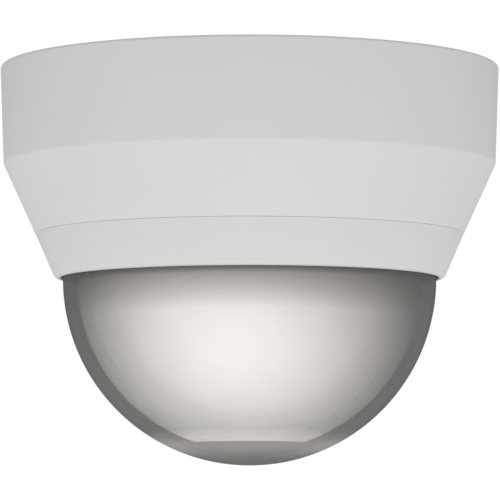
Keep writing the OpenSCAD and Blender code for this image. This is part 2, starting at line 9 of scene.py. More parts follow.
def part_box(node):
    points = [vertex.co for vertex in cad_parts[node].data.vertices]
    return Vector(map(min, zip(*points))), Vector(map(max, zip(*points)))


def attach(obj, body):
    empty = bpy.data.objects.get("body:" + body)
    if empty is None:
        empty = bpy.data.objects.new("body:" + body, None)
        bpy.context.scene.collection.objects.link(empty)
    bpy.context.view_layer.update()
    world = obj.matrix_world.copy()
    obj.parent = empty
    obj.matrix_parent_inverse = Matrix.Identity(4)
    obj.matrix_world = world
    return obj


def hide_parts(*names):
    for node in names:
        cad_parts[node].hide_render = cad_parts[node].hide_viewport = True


# %% [markdown]
# # A ceiling dome camera
# The CAD part comes in as a fixed frame: every piece is already in its place, and each one
# rides on a body that a joint can move. This lesson gives that frame its looks. Some pieces
# are rebuilt with finer edges than CAD gives them, and the others keep their CAD mesh and
# get a material and softened edges.

# %% Load the frame
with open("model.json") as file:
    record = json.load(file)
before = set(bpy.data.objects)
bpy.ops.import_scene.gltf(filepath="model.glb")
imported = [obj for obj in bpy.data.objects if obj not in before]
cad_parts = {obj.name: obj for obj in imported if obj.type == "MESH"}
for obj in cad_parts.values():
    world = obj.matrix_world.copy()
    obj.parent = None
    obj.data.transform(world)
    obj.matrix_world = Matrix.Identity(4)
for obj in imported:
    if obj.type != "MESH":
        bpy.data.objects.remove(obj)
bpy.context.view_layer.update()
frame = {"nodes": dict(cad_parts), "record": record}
MM = 0.001
nodes = frame["nodes"]

# %% [markdown]
# The driving sizes of a rebuilt piece are read from the CAD node that it stands for, in
# millimetres. A CAD circle is many-sided and comes out a hair small, so each size is rounded
# to a tenth. Depths are measured down from the ceiling.

# %% Sizes from the frame
LOW = 0
HIGH = 1


def radius_of(node):
    return round(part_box(node)[HIGH][0] / MM, 1)


def depth_of(node, corner):
    return round(-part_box(node)[corner][2] / MM, 1)


print("cover radius and seam depth, mm:", radius_of("cover_shell"), depth_of("cover_shell", LOW))

# %% [markdown]
# ## The camera
# The view is set first, so that every later choice can be judged in it. A long lens, about
# a metre away and just below the object, looks up a little at a point on its axis. A small
# shift then places the object in the frame.

# %% Camera
VIEW_DISTANCE = 1031.57 * MM
VIEW_ELEVATION = math.radians(-4.277)
AIM = Vector((0, 0, -57 * MM))
FOCAL_LENGTH = 255.47
SENSOR_WIDTH = 36
SHIFT = (0.0008, 0.0265)
camera_data = bpy.data.cameras.new("view")
camera_data.lens = FOCAL_LENGTH
camera_data.sensor_width = SENSOR_WIDTH
camera_data.clip_start = 0.01
camera_data.shift_x, camera_data.shift_y = SHIFT
camera = bpy.data.objects.new("view", camera_data)
bpy.context.scene.collection.objects.link(camera)
towards = Vector((0, -math.cos(VIEW_ELEVATION), math.sin(VIEW_ELEVATION)))
camera.location = AIM + towards * VIEW_DISTANCE
camera.rotation_euler = (-towards).to_track_quat("-Z", "Y").to_euler()
bpy.context.scene.camera = camera
print("camera at, mm:", [round(v / MM, 1) for v in camera.location])

# %% [markdown]
# ## Small helpers
# A shape is built as a bmesh, cleaned, and turned into an object. `finish_piece` does that
# once for every piece: it welds doubles, turns the normals outwards, shades smoothly, and
# keeps the edges sharp where two faces meet at more than a given angle.

# %% Turning a bmesh into a piece
def finish_piece(name, bm, body, material, sharp=35):
    bmesh.ops.remove_doubles(bm, verts=bm.verts, dist=1e-6)
    bmesh.ops.recalc_face_normals(bm, faces=bm.faces)
    limit = math.radians(sharp)
    for edge in bm.edges:
        if len(edge.link_faces) == 2:
            edge.smooth = edge.calc_face_angle() < limit
    for face in bm.faces:
        face.smooth = True
    mesh = bpy.data.meshes.new(name)
    bm.to_mesh(mesh)
    bm.free()
    mesh.materials.append(material)
    obj = bpy.data.objects.new(name, mesh)
    bpy.context.scene.collection.objects.link(obj)
    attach(obj, body)
    return obj


print("finish_piece ready")

# %% [markdown]
# Most of this camera is turned: a profile swept round an axis. `lathe` takes the profile as
# a closed loop of (radius, height) points and spins it a full turn. A point on the axis
# makes a pole, which the weld in `finish_piece` closes.

# %% Lathe and profile helpers
def arc(cx, cy, r, start, end, steps=8):
    points = []
    for i in range(steps + 1):
        a = math.radians(start + (end - start) * i / steps)
        points.append((cx + r * math.cos(a), cy + r * math.sin(a)))
    return points


def lathe(points, steps=192):
    bm = bmesh.new()
    ring = [bm.verts.new((r * MM, 0, h * MM)) for r, h in points]
    edges = [bm.edges.new((ring[i], ring[(i + 1) % len(ring)])) for i in range(len(ring))]
    bmesh.ops.spin(bm, geom=ring + edges, cent=(0, 0, 0), axis=(0, 0, 1),
                   angle=math.tau, steps=steps, use_merge=True)
    bmesh.ops.remove_doubles(bm, verts=bm.verts, dist=1e-6)
    bmesh.ops.dissolve_degenerate(bm, edges=bm.edges, dist=1e-7)
    return bm


def add_box(bm, low, high):
    size = [b - a for a, b in zip(low, high)]
    mid = [(b + a) / 2 for a, b in zip(low, high)]
    place = Matrix.Translation(Vector(mid) * MM) @ Matrix.Diagonal([s * MM for s in size] + [1])
    return bmesh.ops.create_cube(bm, size=1, matrix=place)["verts"]


print("an arc of 8 steps has", len(arc(0, 0, 1, 0, 90)), "points")

# %% [markdown]
# ## Materials
# Each material is a small graph of shader nodes. `Graph` wraps it so that a node is one
# line: its type, its settings, and what feeds each socket. A constant goes on the socket
# itself, and a link goes only where something varies.

# %% A short way to write node graphs
class Graph:
    def __init__(self, tree):
        self.tree = tree

    def node(self, kind, sockets=None, **settings):
        n = self.tree.nodes.new(kind)
        for key, value in settings.items():
            setattr(n, key, value)
        for key, value in (sockets or {}).items():
            if isinstance(value, bpy.types.NodeSocket):
                self.tree.links.new(value, n.inputs[key])
            else:
                n.inputs[key].default_value = value
        return n

    def math(self, operation, a, b=0.0, c=0.0, clamp=False):
        n = self.node("ShaderNodeMath", {0: a, 1: b, 2: c}, operation=operation)
        n.use_clamp = clamp
        return n.outputs[0]

    def ramp(self, value, stops, interpolation="LINEAR"):
        n = self.node("ShaderNodeValToRGB", {"Fac": value})
        n.color_ramp.interpolation = interpolation
        while len(n.color_ramp.elements) < len(stops):
            n.color_ramp.elements.new(0.5)
        for element, (position, level) in zip(n.color_ramp.elements, stops):
            element.position = position
            element.color = (level, level, level, 1)
        return n.outputs["Color"]

    def mix(self, factor, a, b, blend="MIX"):
        n = self.node("ShaderNodeMix", {"Factor": factor, 6: a, 7: b}, data_type="RGBA",
                      blend_type=blend)
        return n.outputs[2]


def group(name, inputs, outputs):
    tree = bpy.data.node_groups.new(name, "ShaderNodeTree")
    for label, kind, value in inputs:
        socket = tree.interface.new_socket(label, in_out="INPUT", socket_type=kind)
        socket.default_value = value
    for label, kind in outputs:
        tree.interface.new_socket(label, in_out="OUTPUT", socket_type=kind)
    g = Graph(tree)
    start = g.node("NodeGroupInput")
    end = g.node("NodeGroupOutput")
    return g, start, end


print("node graph helpers ready")

# %% [markdown]
# A surface finish shared by the moulded plastics: a fine spark-eroded grain that bends the
# normal, a slow drift of gloss, and a few faint hairline scuffs. The group puts out only
# values and a normal, and the material decides what they do.

# %% Grain group
FLOAT = "NodeSocketFloat"
VECTOR = "NodeSocketVector"
g, start, end = group(
    "grain",
    [("Scale", FLOAT, 4000.0), ("Depth", FLOAT, 0.02), ("Roughness", FLOAT, 0.45)],
    [("Roughness", FLOAT), ("Tone", FLOAT), ("Normal", VECTOR)],
)
place = g.node("ShaderNodeTexCoord").outputs["Object"]
fine = g.node("ShaderNodeTexNoise",
              {"Vector": place, "Scale": start.outputs["Scale"], "Detail": 3.0}).outputs["Fac"]
broad = g.node("ShaderNodeTexNoise",
               {"Vector": place, "Scale": 35.0, "Detail": 4.0}).outputs["Fac"]
streak_place = g.node("ShaderNodeMapping", {"Vector": place, "Scale": (60.0, 60.0, 900.0)})
streak = g.node("ShaderNodeTexNoise", {"Vector": streak_place.outputs[0], "Scale": 1.0,
                                       "Detail": 2.0, "Distortion": 0.4}).outputs["Fac"]
scuff = g.math("GREATER_THAN", streak, 0.72)
drift = g.math("MULTIPLY_ADD", broad, 0.16, -0.08)
rough = g.math("ADD", start.outputs["Roughness"], drift)
rough = g.math("MULTIPLY_ADD", scuff, 0.06, rough)
tone = g.math("MULTIPLY_ADD", broad, 0.05, 0.975)
bump = g.node("ShaderNodeBump", {"Strength": start.outputs["Depth"], "Distance": 0.0002,
                                 "Height": fine})
g.tree.links.new(rough, end.inputs["Roughness"])
g.tree.links.new(tone, end.inputs["Tone"])
g.tree.links.new(bump.outputs[0], end.inputs["Normal"])
grain_group = g.tree
print("grain group:", len(g.tree.nodes), "nodes")


# %% [markdown]
# Metal is brushed or turned, so its grain is drawn out along one direction. The group for it
# stretches a noise and uses it both to bend the normal and to vary the gloss.

# %% Brushed group
g, start, end = group(
    "brushed",
    [("Depth", FLOAT, 0.05), ("Roughness", FLOAT, 0.3)],
    [("Roughness", FLOAT), ("Tone", FLOAT), ("Normal", VECTOR)],
)
place = g.node("ShaderNodeTexCoord").outputs["Object"]
long_place = g.node("ShaderNodeMapping", {"Vector": place, "Scale": (300.0, 6000.0, 6000.0)})
hair = g.node("ShaderNodeTexNoise", {"Vector": long_place.outputs[0], "Scale": 1.0,
                                     "Detail": 3.0}).outputs["Fac"]
stain = g.node("ShaderNodeTexNoise", {"Vector": place, "Scale": 180.0,
                                      "Detail": 3.0}).outputs["Fac"]
rough = g.math("MULTIPLY_ADD", hair, 0.18, start.outputs["Roughness"])
rough = g.math("MULTIPLY_ADD", stain, 0.1, rough)
tone = g.math("MULTIPLY_ADD", stain, 0.3, 0.8)
bump = g.node("ShaderNodeBump", {"Strength": start.outputs["Depth"], "Distance": 0.0001,
                                 "Height": hair})
g.tree.links.new(rough, end.inputs["Roughness"])
g.tree.links.new(tone, end.inputs["Tone"])
g.tree.links.new(bump.outputs[0], end.inputs["Normal"])
brushed_group = g.tree
print("brushed group:", len(g.tree.nodes), "nodes")


# %% [markdown]
# Handling rubs the corners of a part first, and they go paler. The Bevel node gives the
# normal that a rounded edge would have, so where it leaves the true normal there is an edge.
# A noise breaks the line up, because real wear is patchy.

# %% Edge wear group
g, start, end = group(
    "edge_wear",
    [("Width", FLOAT, 0.0003), ("Amount", FLOAT, 0.5)],
    [("Mask", FLOAT)],
)
place = g.node("ShaderNodeTexCoord").outputs["Object"]
rounded = g.node("ShaderNodeBevel", {"Radius": start.outputs["Width"]}, samples=4).outputs[0]
true = g.node("ShaderNodeNewGeometry").outputs["Normal"]
agree = g.node("ShaderNodeVectorMath", {0: rounded, 1: true}, operation="DOT_PRODUCT")
apart = g.math("SUBTRACT", 1.0, agree.outputs["Value"])
patches = g.node("ShaderNodeTexNoise",
                 {"Vector": place, "Scale": 260.0, "Detail": 4.0}).outputs["Fac"]
broken = g.math("MULTIPLY_ADD", patches, 3.0, -1.1, clamp=True)
worn = g.math("MULTIPLY", apart, 7.0, clamp=True)
worn = g.math("MULTIPLY", g.math("MULTIPLY", worn, broken), start.outputs["Amount"])
g.tree.links.new(worn, end.inputs["Mask"])
wear_group = g.tree
print("wear group:", len(g.tree.nodes), "nodes")


# %% [markdown]
# With the groups made, a plastic or a metal is one call. The group's tone varies the colour
# a little and its roughness varies the gloss. Only the colour follows the wear mask, and it
# goes paler there, so no surface is a single flat colour.

# %% Plastic and metal makers
def new_material(name):
    material = bpy.data.materials.new(name)
    material.use_nodes = True
    material.node_tree.nodes.clear()
    g = Graph(material.node_tree)
    out = g.node("ShaderNodeOutputMaterial")
    return material, g, out


def toned(g, color, tone):
    return g.mix(1.0, (*color, 1), tone, "MULTIPLY")


def worn_color(g, color, tone, amount, paler):
    wear = g.node("ShaderNodeGroup", node_tree=wear_group)
    wear.inputs["Amount"].default_value = amount
    rubbed = [c + (1 - c) * paler for c in color]
    return g.mix(wear.outputs["Mask"], toned(g, color, tone), (*rubbed, 1))


PLASTIC_WEAR = 0.35
METAL_WEAR = 0.6


def plastic(name, color, roughness, scale, depth):
    material, g, out = new_material(name)
    finish = g.node("ShaderNodeGroup", node_tree=grain_group)
    finish.inputs["Scale"].default_value = scale
    finish.inputs["Depth"].default_value = depth
    finish.inputs["Roughness"].default_value = roughness
    shader = g.node("ShaderNodeBsdfPrincipled", {
        "Base Color": worn_color(g, color, finish.outputs["Tone"], PLASTIC_WEAR, 0.3),
        "Roughness": finish.outputs["Roughness"],
        "Normal": finish.outputs["Normal"],
        "Specular IOR Level": 0.4,
    })
    g.tree.links.new(shader.outputs[0], out.inputs["Surface"])
    return material


def metal(name, color, roughness, depth=0.1):
    material, g, out = new_material(name)
    finish = g.node("ShaderNodeGroup", node_tree=brushed_group)
    finish.inputs["Depth"].default_value = depth
    finish.inputs["Roughness"].default_value = roughness
    shader = g.node("ShaderNodeBsdfPrincipled", {
        "Base Color": worn_color(g, color, finish.outputs["Tone"], METAL_WEAR, 0.5),
        "Metallic": 1.0,
        "Roughness": finish.outputs["Roughness"],
        "Normal": finish.outputs["Normal"],
    })
    g.tree.links.new(shader.outputs[0], out.inputs["Surface"])
    return material


print("plastic wear and metal wear:", PLASTIC_WEAR, METAL_WEAR)

# %% [markdown]
# The smoked bubble is a clear shell with the smoke near its outer face. Light that crosses
# it at a slant meets far more smoke, so the tint of one face falls with the cosine of the
# viewing angle, and the ball darkens towards its rim. The pigment also scatters a little
# daylight back, a thin even haze, so that the rim never goes black. A ball blown from a flat
# sheet may be thinner near its pole. That is a guess here, and the clearer band round the
# pole is chosen for its look. A weak gloss lies over it all. The inner face is nearly clear,
# so it gets a paler version of the same material.

# %% Smoke and glass
THIN_FROM = -105.5
THIN_TO = -115.0
THIN_BAND = [(0.0, 0.0), (0.4, 1.0), (0.58, 1.0), (0.95, 0.12)]
HAZE_COLOR = (0.97, 0.935, 0.90, 1)
SHINE_LIMIT = 0.1


def smoke(name, edge_tint, pole_tint, face_tint, falloff, gloss, roughness, haze):
    material, g, out = new_material(name)
    place = g.node("ShaderNodeTexCoord").outputs["Object"]
    facing = g.node("ShaderNodeLayerWeight", {"Blend": 0.5}).outputs["Facing"]
    cosine = g.math("SUBTRACT", 1.0, facing)
    cloud = g.node("ShaderNodeTexNoise", {"Vector": place, "Scale": 30.0,
                                          "Detail": 2.0}).outputs["Fac"]
    clear = g.math("POWER", cosine, falloff)
    clear = g.math("MULTIPLY", clear, g.math("MULTIPLY_ADD", cloud, 0.03, 0.985))
    height = g.node("ShaderNodeSeparateXYZ", {0: place}).outputs["Z"]
    thinned = g.node("ShaderNodeMapRange", {"Value": height, "From Min": THIN_FROM * MM,
                                            "From Max": THIN_TO * MM})
    band = g.ramp(thinned.outputs["Result"], THIN_BAND)
    rim = g.mix(band, (*edge_tint, 1), (*pole_tint, 1))
    tint = g.mix(clear, rim, (*face_tint, 1))
    clear_part = g.node("ShaderNodeBsdfTransparent", {"Color": tint})
    milk = g.node("ShaderNodeBsdfDiffuse", {"Color": HAZE_COLOR})
    amount_of_haze = g.math("MULTIPLY_ADD", cloud, 0.02, haze - 0.01)
    through = g.node("ShaderNodeMixShader", {0: amount_of_haze, 1: clear_part.outputs[0],
                                             2: milk.outputs[0]})
    ripple = g.node("ShaderNodeBump", {"Strength": 0.03, "Distance": 0.0005,
                                       "Height": cloud}).outputs[0]
    shine = g.node("ShaderNodeBsdfGlossy", {"Roughness": roughness, "Normal": ripple})
    grazing = g.node("ShaderNodeFresnel", {"IOR": 1.3}).outputs[0]
    amount = g.math("MINIMUM", g.math("MULTIPLY", grazing, gloss), SHINE_LIMIT)
    both = g.node("ShaderNodeMixShader", {0: amount, 1: through.outputs[0],
                                          2: shine.outputs[0]})
    g.tree.links.new(both.outputs[0], out.inputs["Surface"])
    return material


def coated_glass(name, tint, coat):
    material, g, out = new_material(name)
    place = g.node("ShaderNodeTexCoord").outputs["Object"]
    haze = g.node("ShaderNodeTexNoise", {"Vector": place, "Scale": 400.0}).outputs["Fac"]
    facing = g.node("ShaderNodeLayerWeight", {"Blend": 0.35}).outputs["Facing"]
    bloom = g.mix(facing, (*coat, 1), (*tint, 1))
    shader = g.node("ShaderNodeBsdfPrincipled", {
        "Base Color": bloom,
        "Roughness": g.math("MULTIPLY_ADD", haze, 0.05, 0.02),
        "Transmission Weight": 0.55,
        "IOR": 1.6,
        "Coat Weight": 1.0,
        "Coat Roughness": 0.03,
    })
    g.tree.links.new(shader.outputs[0], out.inputs["Surface"])
    return material


print("clearer band, mm:", THIN_FROM, "to", THIN_TO)

# %% [markdown]
# A circuit board is green lacquer over copper. The copper tracks show as slightly raised,
# slightly paler lines, mostly straight, so a brick pattern turned three ways and thinned by
# a noise stands for them. Bare gold vias dot the lacquer.

# %% Circuit board
TRACK_TURNS = (0.0, math.radians(90), math.radians(45))


def circuit_board(name, lacquer):
    material, g, out = new_material(name)
    place = g.node("ShaderNodeTexCoord").outputs["Object"]
    finish = g.node("ShaderNodeGroup", node_tree=grain_group)
    finish.inputs["Scale"].default_value = 900.0
    finish.inputs["Depth"].default_value = 0.08
    finish.inputs["Roughness"].default_value = 0.3
    tracks = None
    for turn in TRACK_TURNS:
        turned = g.node("ShaderNodeMapping", {"Vector": place, "Rotation": (0.0, 0.0, turn)})
        lines = g.node("ShaderNodeTexBrick", {
            "Vector": turned.outputs[0], "Color1": (0, 0, 0, 1), "Color2": (0, 0, 0, 1),
            "Mortar": (1, 1, 1, 1), "Scale": 1.0, "Mortar Size": 0.00018,
            "Mortar Smooth": 0.1, "Brick Width": 0.017, "Row Height": 0.0016,
        }).outputs["Color"]
        zone = g.node("ShaderNodeTexNoise",
                      {"Vector": turned.outputs[0], "Scale": 55.0}).outputs["Fac"]
        shown = g.math("MULTIPLY", lines, g.math("GREATER_THAN", zone, 0.53))
        tracks = shown if tracks is None else g.math("MAXIMUM", tracks, shown)
    cells = g.node("ShaderNodeTexVoronoi", {"Vector": place, "Scale": 320.0}).outputs["Distance"]
    vias = g.math("LESS_THAN", cells, 0.09)
    paler = tuple(c * 2.2 for c in lacquer)
    shade = g.mix(tracks, toned(g, lacquer, finish.outputs["Tone"]), (*paler, 1))
    shade = g.mix(vias, shade, (0.72, 0.52, 0.2, 1))
    relief = g.node("ShaderNodeBump", {"Strength": 0.5, "Distance": 0.00005, "Height": tracks,
                                       "Normal": finish.outputs["Normal"]}).outputs[0]
    shader = g.node("ShaderNodeBsdfPrincipled", {
        "Base Color": shade, "Roughness": finish.outputs["Roughness"], "Normal": relief,
        "Coat Weight": 0.3, "Coat Roughness": 0.15,
    })
    g.tree.links.new(shader.outputs[0], out.inputs["Surface"])
    return material


print("track directions:", len(TRACK_TURNS))

# %% [markdown]
# The liner is a pale moulded shroud that hides the workings behind the smoke. Its colour and
# the darker, warmer band round its top are guesses, chosen for how they look through the
# bubble. The band is painted shade: it stands for the shade under the cover's lip, and it
# fades downwards over thirteen millimetres.

# %% Liner material
# Painted shade: where the darker band round the liner's top starts and ends, and its grey levels.
SHADE_BELT_TOP = -60.0
SHADE_BELT_END = -73.0
SHADE_BELT_STOPS = [(0.0, 0.02), (0.14, 0.05), (0.24, 0.19), (0.35, 0.24), (0.60, 0.32),
              (0.76, 0.38), (1.0, 0.48)]


def liner_material(name):
    material, g, out = new_material(name)
    place = g.node("ShaderNodeTexCoord").outputs["Object"]
    height = g.node("ShaderNodeSeparateXYZ", {0: place}).outputs["Z"]
    down = g.node("ShaderNodeMapRange", {"Value": height, "From Min": SHADE_BELT_TOP * MM,
                                         "From Max": SHADE_BELT_END * MM})
    finish = g.node("ShaderNodeGroup", node_tree=grain_group)
    finish.inputs["Scale"].default_value = 3500.0
    finish.inputs["Roughness"].default_value = 0.55
    # Painted shade: the grey falls almost to black at the top, as if under the cover's lip.
    painted_shade_belt = g.ramp(down.outputs["Result"], SHADE_BELT_STOPS)
    # The painted shade is also warmer in tone, and lower down the liner keeps a paler warm tint.
    liner_warmth_and_shade_tint = g.mix(down.outputs["Result"], (1.0, 0.955, 0.90, 1), (1.0, 0.985, 0.965, 1))
    painted_shade_belt = g.mix(1.0, painted_shade_belt, liner_warmth_and_shade_tint, "MULTIPLY")
    shader = g.node("ShaderNodeBsdfPrincipled", {
        "Base Color": g.mix(1.0, painted_shade_belt, finish.outputs["Tone"], "MULTIPLY"),
        "Roughness": finish.outputs["Roughness"],
        "Normal": finish.outputs["Normal"],
        "Specular IOR Level": 0.3,
    })
    g.tree.links.new(shader.outputs[0], out.inputs["Surface"])
    return material


print("belt height, mm:", SHADE_BELT_TOP - SHADE_BELT_END)

# %% [markdown]
# One material for each material slot of the CAD record. Two pieces in the same slot look
# alike, as they would if they came from the same moulding or the same bar.

# %% The set of materials
looks = {
    "white_cover": plastic("white_cover", (0.80, 0.80, 0.795), roughness=0.42, scale=5200.0, depth=0.05),
    "smoke_dome": smoke("smoke_dome", edge_tint=(0.11, 0.11, 0.11), pole_tint=(0.46, 0.45, 0.44),
                        face_tint=(0.98, 0.965, 0.945), falloff=1.9, gloss=0.5, roughness=0.2,
                        haze=0.12),
    "pale_liner": liner_material("pale_liner"),
    "light_plastic": plastic("light_plastic", (0.74, 0.74, 0.72), roughness=0.5, scale=3500.0, depth=0.08),
    "dark_plastic": plastic("dark_plastic", (0.022, 0.022, 0.024), roughness=0.42, scale=3000.0, depth=0.15),
    "rubber": plastic("rubber", (0.018, 0.018, 0.018), roughness=0.62, scale=2500.0, depth=0.2),
    "foam": plastic("foam", (0.05, 0.05, 0.055), roughness=0.9, scale=1800.0, depth=0.8),
    "steel": metal("steel", (0.62, 0.62, 0.63), roughness=0.22),
    "brass": metal("brass", (0.78, 0.58, 0.26), roughness=0.2),
    "gold": metal("gold", (0.95, 0.70, 0.28), roughness=0.1),
    "alloy": metal("alloy", (0.42, 0.45, 0.50), roughness=0.35, depth=0.2),
    "board": circuit_board("board", (0.012, 0.11, 0.045)),
    "chip": plastic("chip", (0.018, 0.018, 0.019), roughness=0.5, scale=3000.0, depth=0.2),
    "capacitor": metal("capacitor", (0.55, 0.57, 0.60), roughness=0.25),
    "green_plastic": plastic("green_plastic", (0.02, 0.22, 0.06), roughness=0.35, scale=3000.0, depth=0.1),
    "ivory_plastic": plastic("ivory_plastic", (0.72, 0.68, 0.55), roughness=0.4, scale=3000.0, depth=0.08),
    "red_plastic": plastic("red_plastic", (0.5, 0.02, 0.015), roughness=0.35, scale=3000.0, depth=0.1),
    "nylon": plastic("nylon", (0.72, 0.42, 0.14), roughness=0.4, scale=3000.0, depth=0.08),
    "lens_glass": coated_glass("lens_glass", (0.55, 0.45, 0.75), (0.10, 0.16, 0.22)),
}
inner_face = smoke("smoke_inner_face", edge_tint=(0.93, 0.93, 0.93), pole_tint=(0.95, 0.95, 0.95),
                   face_tint=(0.99, 0.99, 0.99), falloff=1.0, gloss=0.15, roughness=0.2,
                   haze=0.02)
print(len(looks) + 1, "materials")

# %% [markdown]
# Every CAD piece first gets its slot's material and slightly broken edges. A weld joins the
# mesh across its CAD faces, and a bevel rounds the sharp edges a little. Hardened normals
# keep the flat faces flat. Glass and smoke are left sharp.

# %% Dress the CAD pieces
slot_of = {part["node"]: part["material_slot"] for part in frame["record"]["subparts"]}
EDGE = 0.12
WELD = 1e-6
SHARP_ANGLE = math.radians(40)
ROUND_BY = {"base_plate": 0.3, "chassis_frame": 0.25, "turntable": 0.25,
            "heat_sink": 0.15, "head_barrel": 0.2, "tilt_cradle": 0.3, "yoke_arm_left": 0.25,
            "yoke_arm_right": 0.25, "knockout_plug": 0.1, "head_rear_cover": 0.2}
KEEP_SHARP = ("lens_glass", "smoke_dome")
for name, obj in nodes.items():
    obj.data.materials.clear()
    obj.data.materials.append(looks[slot_of[name]])
    weld = obj.modifiers.new("weld", "WELD")
    weld.merge_threshold = WELD
    if slot_of[name] not in KEEP_SHARP:
        rounding = obj.modifiers.new("rounding", "BEVEL")
        rounding.width = ROUND_BY.get(name, EDGE) * MM
        rounding.segments = 2
        rounding.limit_method = "ANGLE"
        rounding.angle_limit = SHARP_ANGLE
        rounding.harden_normals = True
print(len(nodes), "CAD pieces dressed")

# %% [markdown]
# ## The cover shell
# The shell is a drafted wall, a rounded corner and a cone, with a small round at the top and
# another at the lower edge. It is drawn as one closed loop, outside down and inside up. The
# CAD cover also has three screw lugs inside, which this skin leaves out.

# %% Cover shell
BODY_R = radius_of("cover_shell")
SEAM_H = depth_of("cover_shell", LOW)
WALL_R = BODY_R - 1
WALL_H = 28.3
DRAFT = 2
CONE = 24.1
SLOPE = math.tan(math.radians(CONE))
WALL = 2.4
CONE_WALL = WALL / math.cos(math.radians(CONE))
TOP_ROUND = 0.9
CORNER_ROUND = 2
CORNER_DROP = 0.4
EDGE_ROUND = 0.6
EDGE_INSET = 0.57
EDGE_TURN = -66
EDGE_CHAMFER = 0.15
INNER_TOP = 0.2
TOP_CHAMFER = 0.3


def cone_r(h):
    return WALL_R - (h - WALL_H) * SLOPE


shell_points = arc(BODY_R - TOP_ROUND, -TOP_ROUND, TOP_ROUND, 90, DRAFT, 8)
shell_points += arc(WALL_R - CORNER_ROUND, -WALL_H + CORNER_DROP, CORNER_ROUND, -DRAFT, -CONE, 6)
shell_points += arc(cone_r(SEAM_H) - EDGE_INSET, -SEAM_H + EDGE_ROUND, EDGE_ROUND,
                    -CONE, EDGE_TURN, 8)
inner_r = cone_r(SEAM_H) - CONE_WALL
shell_points += [
    (inner_r + EDGE_CHAMFER, -SEAM_H),
    (inner_r, -SEAM_H + EDGE_CHAMFER),
    (WALL_R - CONE_WALL, -WALL_H),
    (BODY_R - WALL, -INNER_TOP - TOP_CHAMFER),
    (BODY_R - WALL + TOP_CHAMFER, -INNER_TOP),
]
shell = finish_piece("cover_skin", lathe(shell_points, 256), "cover",
                     looks["white_cover"], 40)
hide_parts("cover_shell")
print("cover shell:", len(shell.data.polygons), "faces")

# %% [markdown]
# A cable along the ceiling enters through a knock-out in the back of the wall: an arch that
# is open at the top edge and closed by a snap-in plug. A boolean cut with an arch-ended
# prism makes the opening, and the result is stored, so that no cutter is left behind.

# %% Knock-out opening
KNOCKOUT_W = 18
KNOCKOUT_H = 16
KNOCKOUT_R = KNOCKOUT_W / 2
ARCH_H = -KNOCKOUT_H + KNOCKOUT_R
ARCH_DEPTH = 14
CUT_IN = 8
CUT_OUT = 6
CUT_ABOVE = 4


def add_cutter(name, bm):
    mesh = bpy.data.meshes.new(name)
    bm.to_mesh(mesh)
    bm.free()
    cutter = bpy.data.objects.new(name, mesh)
    bpy.context.scene.collection.objects.link(cutter)
    cut = shell.modifiers.new(name, "BOOLEAN")
    cut.operation = "DIFFERENCE"
    cut.object = cutter
    cut.solver = "EXACT"
    return cutter


block_bm = bmesh.new()
add_box(block_bm, (-KNOCKOUT_R, BODY_R - CUT_IN, ARCH_H), (KNOCKOUT_R, BODY_R + CUT_OUT, CUT_ABOVE))
arch_bm = bmesh.new()
lying = Matrix.Translation(Vector((0, BODY_R - 1, ARCH_H)) * MM)
lying = lying @ Matrix.Rotation(math.radians(90), 4, "X")
bmesh.ops.create_cone(arch_bm, cap_ends=True, segments=64, radius1=KNOCKOUT_R * MM,
                      radius2=KNOCKOUT_R * MM, depth=ARCH_DEPTH * MM, matrix=lying)
cutters = [add_cutter("knockout_block", block_bm), add_cutter("knockout_arch", arch_bm)]
depsgraph = bpy.context.evaluated_depsgraph_get()
cut_mesh = bpy.data.meshes.new_from_object(shell.evaluated_get(depsgraph), depsgraph=depsgraph)
shell.modifiers.clear()
shell.data = cut_mesh
for cutter in cutters:
    bpy.data.objects.remove(cutter)
print("cover shell, cut:", len(shell.data.polygons), "faces")

# %% [markdown]
# ## The trim ring
# The lower part of the cone is a separate ring, set in by 0.3 mm, so that a fine seam shows.
# Its lip rolls under the cover to meet the bubble, and a thin tongue reaches up inside.

# %% Trim ring profile
LIP_H = depth_of("trim_ring", LOW)
TONGUE_H = depth_of("trim_ring", HIGH)
LIP_R = 54.85
STEP = 0.3
RING_TOP = SEAM_H + 0.02
RING_EDGE = 0.05
LIP_ROUND = 2
LIP_FLAT = 0.35
LIP_BACK = 0.4
LEDGE_H = 56
LEDGE_R = 57.2
TONGUE_ROOT = 52.1
TONGUE_IN = 58.5
TONGUE_OUT = 59.5
ring_points = arc(cone_r(RING_TOP) - STEP - RING_EDGE, -RING_TOP - RING_EDGE, RING_EDGE,
                  90, -CONE, 3)
ring_points += arc(LIP_R + LIP_FLAT, -LIP_H + LIP_ROUND, LIP_ROUND, -CONE, -90, 12)
ring_points += arc(LIP_R + LIP_BACK, -LIP_H + LIP_BACK, LIP_BACK, -100, -180, 4)
ring_points += [
    (LIP_R, -LEDGE_H), (LEDGE_R, -LEDGE_H), (TONGUE_IN, -TONGUE_ROOT), (TONGUE_IN, -TONGUE_H),
    (TONGUE_OUT, -TONGUE_H), (TONGUE_OUT, -RING_TOP),
]
ring_bm = lathe(ring_points, 256)
print("ring profile:", len(ring_points), "points")

# %% [markdown]
# Three posts take the screws that hold the ring to the cover, and six small bosses take the
# screws of the bubble's retainer. They are closed shapes of their own, sunk a little into
# the ring.

# %% Posts and bosses
POST_ANGLES = (90, 210, 330)
POST_AT_R = 57.4
POST_R = 1.9
POST_SINK = 0.8
BOSS_ANGLES = range(0, 360, 60)
BOSS_R = 1.15
BOSS_TOP = 52.22
BOSS_LOW = 56.5


def add_posts(bm, angles, at_r, r, top, low):
    for angle in angles:
        turn = Matrix.Rotation(math.radians(angle), 4, "Z")
        middle = Matrix.Translation(Vector((at_r, 0, -(top + low) / 2)) * MM)
        bmesh.ops.create_cone(bm, cap_ends=True, segments=32, radius1=r * MM, radius2=r * MM,
                              depth=(low - top) * MM, matrix=turn @ middle)


